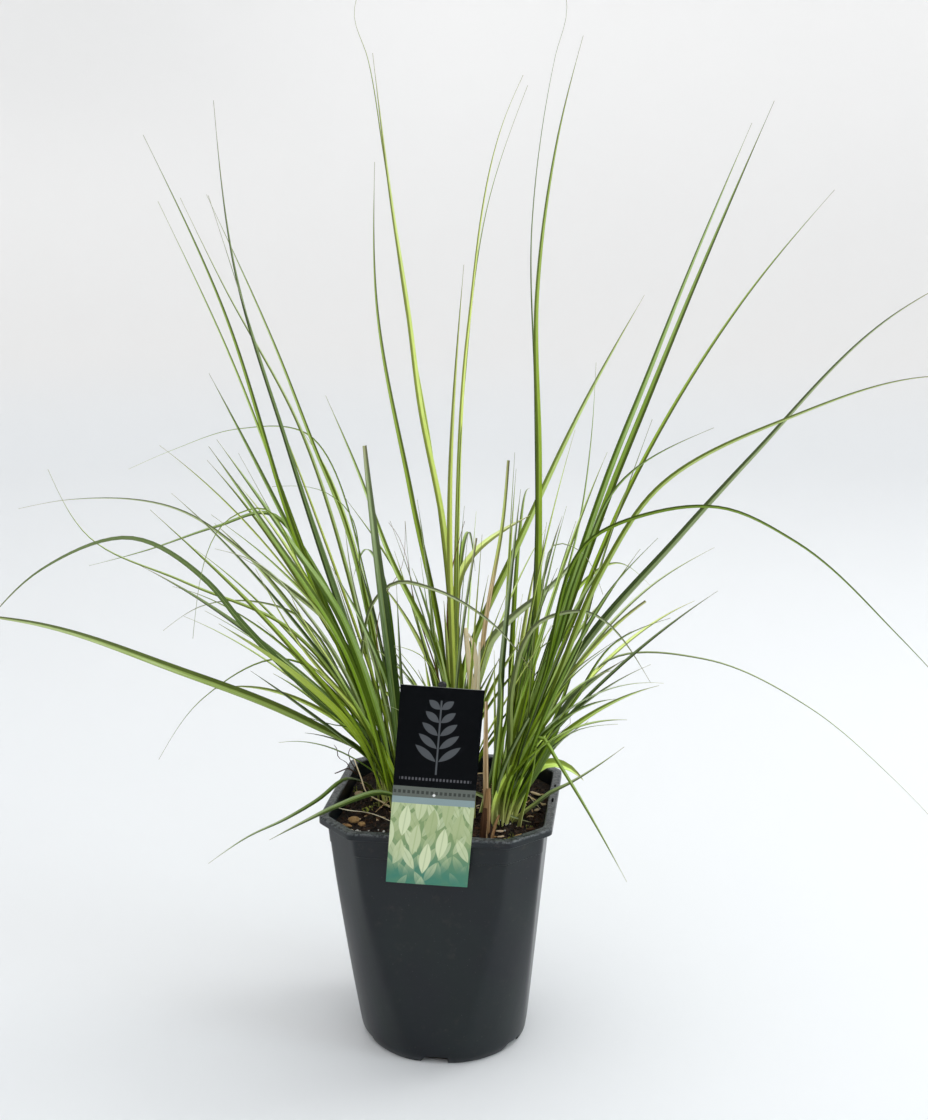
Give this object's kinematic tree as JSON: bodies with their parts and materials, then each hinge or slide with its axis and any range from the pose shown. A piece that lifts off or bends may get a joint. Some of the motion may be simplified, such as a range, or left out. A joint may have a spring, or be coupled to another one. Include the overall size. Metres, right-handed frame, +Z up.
{
  "type": "potted ornamental grass clump",
  "caption": "Young ornamental grass with long narrow arching leaves in loose tufts, growing in a square-rimmed plastic nursery pot with a card label on a stake.",
  "frame": {"origin": "on the ground under the pot's axis, at the middle of the pot's flat underside", "axes": "+Z up along the pot's axis; -Y towards the side where the label hangs in front of the rim; +X to the right when facing the label"},
  "size_m": [0.7591, 0.4193, 0.7843],
  "materials": {
    "pot_plastic": "dark blue-grey moulded plastic, satin",
    "soil": "moist dark peat and bark potting mix, crumbly",
    "label_card": "printed plant label, semi-gloss",
    "stake_plastic": "black plastic",
    "leaf_fresh": "fresh mid-green grass blade, fine ribs, slightly glossy",
    "leaf_dark": "dark green grass blade, fine ribs, slightly glossy",
    "leaf_pale": "yellow-green grass blade, fine ribs",
    "leaf_dead": "dry straw-coloured grass, matt"
  },
  "bodies": {
    "root": {"pot": "pot_plastic", "soil": "soil", "label_card": "label_card", "label_stake": "stake_plastic", "left_leaf_01": "leaf_fresh", "left_leaf_02": "leaf_fresh", "left_leaf_03": "leaf_fresh", "left_leaf_04": "leaf_dark", "left_leaf_05": "leaf_fresh", "left_leaf_06": "leaf_dark", "left_leaf_07": "leaf_dark", "left_leaf_08": "leaf_fresh", "left_leaf_09": "leaf_fresh", "left_leaf_10": "leaf_fresh", "left_leaf_11": "leaf_fresh", "left_leaf_12": "leaf_fresh", "left_leaf_13": "leaf_fresh", "left_leaf_14": "leaf_fresh", "left_leaf_15": "leaf_fresh", "left_leaf_16": "leaf_fresh", "left_leaf_17": "leaf_fresh", "left_leaf_18": "leaf_pale", "left_leaf_19": "leaf_fresh", "left_leaf_20": "leaf_fresh", "left_leaf_21": "leaf_dark", "left_leaf_22": "leaf_fresh", "left_leaf_23": "leaf_fresh", "middle_leaf_01": "leaf_fresh", "middle_leaf_02": "leaf_fresh", "middle_leaf_03": "leaf_fresh", "middle_leaf_04": "leaf_pale", "middle_leaf_05": "leaf_pale", "middle_leaf_06": "leaf_fresh", "middle_leaf_07": "leaf_pale", "middle_leaf_08": "leaf_pale", "middle_leaf_09": "leaf_dark", "middle_leaf_10": "leaf_fresh", "middle_leaf_11": "leaf_dead", "middle_leaf_12": "leaf_fresh", "right_leaf_01": "leaf_dark", "right_leaf_02": "leaf_fresh", "right_leaf_03": "leaf_fresh", "right_leaf_04": "leaf_fresh", "right_leaf_05": "leaf_fresh", "right_leaf_06": "leaf_dark", "right_leaf_07": "leaf_fresh", "right_leaf_08": "leaf_fresh", "right_leaf_09": "leaf_fresh", "right_leaf_10": "leaf_fresh", "right_leaf_11": "leaf_fresh", "right_leaf_12": "leaf_fresh", "right_leaf_13": "leaf_fresh", "right_leaf_14": "leaf_fresh", "right_leaf_15": "leaf_pale", "right_leaf_16": "leaf_dark", "right_leaf_17": "leaf_pale", "right_leaf_18": "leaf_fresh", "right_leaf_19": "leaf_fresh", "right_leaf_20": "leaf_dead"}
  },
  "joints": []
}
